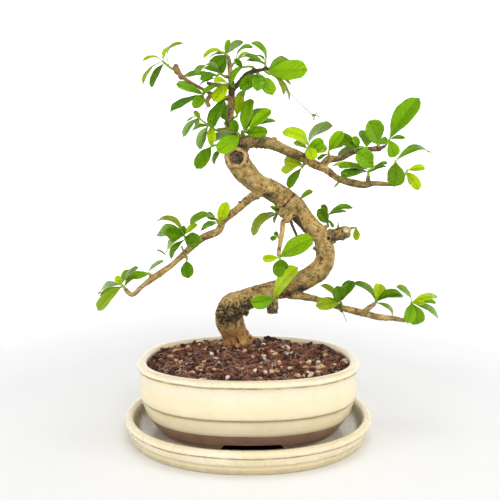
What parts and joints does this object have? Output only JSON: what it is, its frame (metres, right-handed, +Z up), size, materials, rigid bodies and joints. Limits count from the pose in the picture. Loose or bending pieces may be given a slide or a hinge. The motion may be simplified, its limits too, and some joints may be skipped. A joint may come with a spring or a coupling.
{
  "type": "bonsai tree",
  "caption": "Small-leaved bonsai with a twisting trunk and branches, in an oval glazed pot with soil, standing on a matching saucer.",
  "frame": {"origin": "middle of the saucer's flat underside", "axes": "+Z up, +X to the right and -Y to the viewer of the tree's front"},
  "size_m": [0.2607, 0.156, 0.3047],
  "materials": {
    "saucer_glaze": "gloss",
    "pot_glaze": "gloss",
    "drain_mesh": "matt",
    "soil": "rough",
    "bark": "rough",
    "leaf_fresh": "satin",
    "leaf_bright": "satin",
    "leaf_green": "satin",
    "leaf_dark": "gloss",
    "leaf_olive": "satin"
  },
  "bodies": {
    "root": {"saucer": "saucer_glaze", "pot": "pot_glaze", "drain_mesh_left": "drain_mesh", "drain_mesh_right": "drain_mesh", "soil": "soil", "wood": "bark", "spray_left_tip": "leaf_fresh", "spray_left_twig": "leaf_dark", "spray_apex_left": "leaf_green", "spray_crown_left": "leaf_green", "spray_crown_bright": "leaf_bright", "spray_crown_dark": "leaf_dark", "spray_leader_right": "leaf_green", "spray_fork_left": "leaf_green", "spray_fork_arches": "leaf_fresh", "spray_fork_below": "leaf_green", "spray_fork_end": "leaf_green", "spray_centre_right": "leaf_green", "spray_centre_left": "leaf_green", "spray_leader_back": "leaf_fresh", "spray_drooping": "leaf_olive", "spray_shoulder": "leaf_dark", "spray_upper_first": "leaf_bright", "spray_upper_second": "leaf_olive", "spray_upper_fork": "leaf_green", "spray_upper_front": "leaf_green", "spray_upper_fork_end": "leaf_green", "spray_upper_tall": "leaf_green", "spray_upper_end": "leaf_dark", "spray_upper_low": "leaf_bright", "spray_under_upper": "leaf_fresh", "spray_bend_left": "leaf_green", "spray_bend_dark": "leaf_dark", "spray_bend_tip": "leaf_green", "spray_stub": "leaf_bright", "spray_back_right": "leaf_dark", "spray_cut_stub": "leaf_olive", "spray_back_trunk": "leaf_fresh", "spray_lower_first": "leaf_green", "spray_lower_twig": "leaf_bright", "spray_lower_end": "leaf_green", "spray_left_first": "leaf_fresh", "spray_left_second": "leaf_dark", "spray_left_hanging": "leaf_dark", "spray_left_knob": "leaf_green", "spray_left_end": "leaf_olive"}
  },
  "joints": []
}
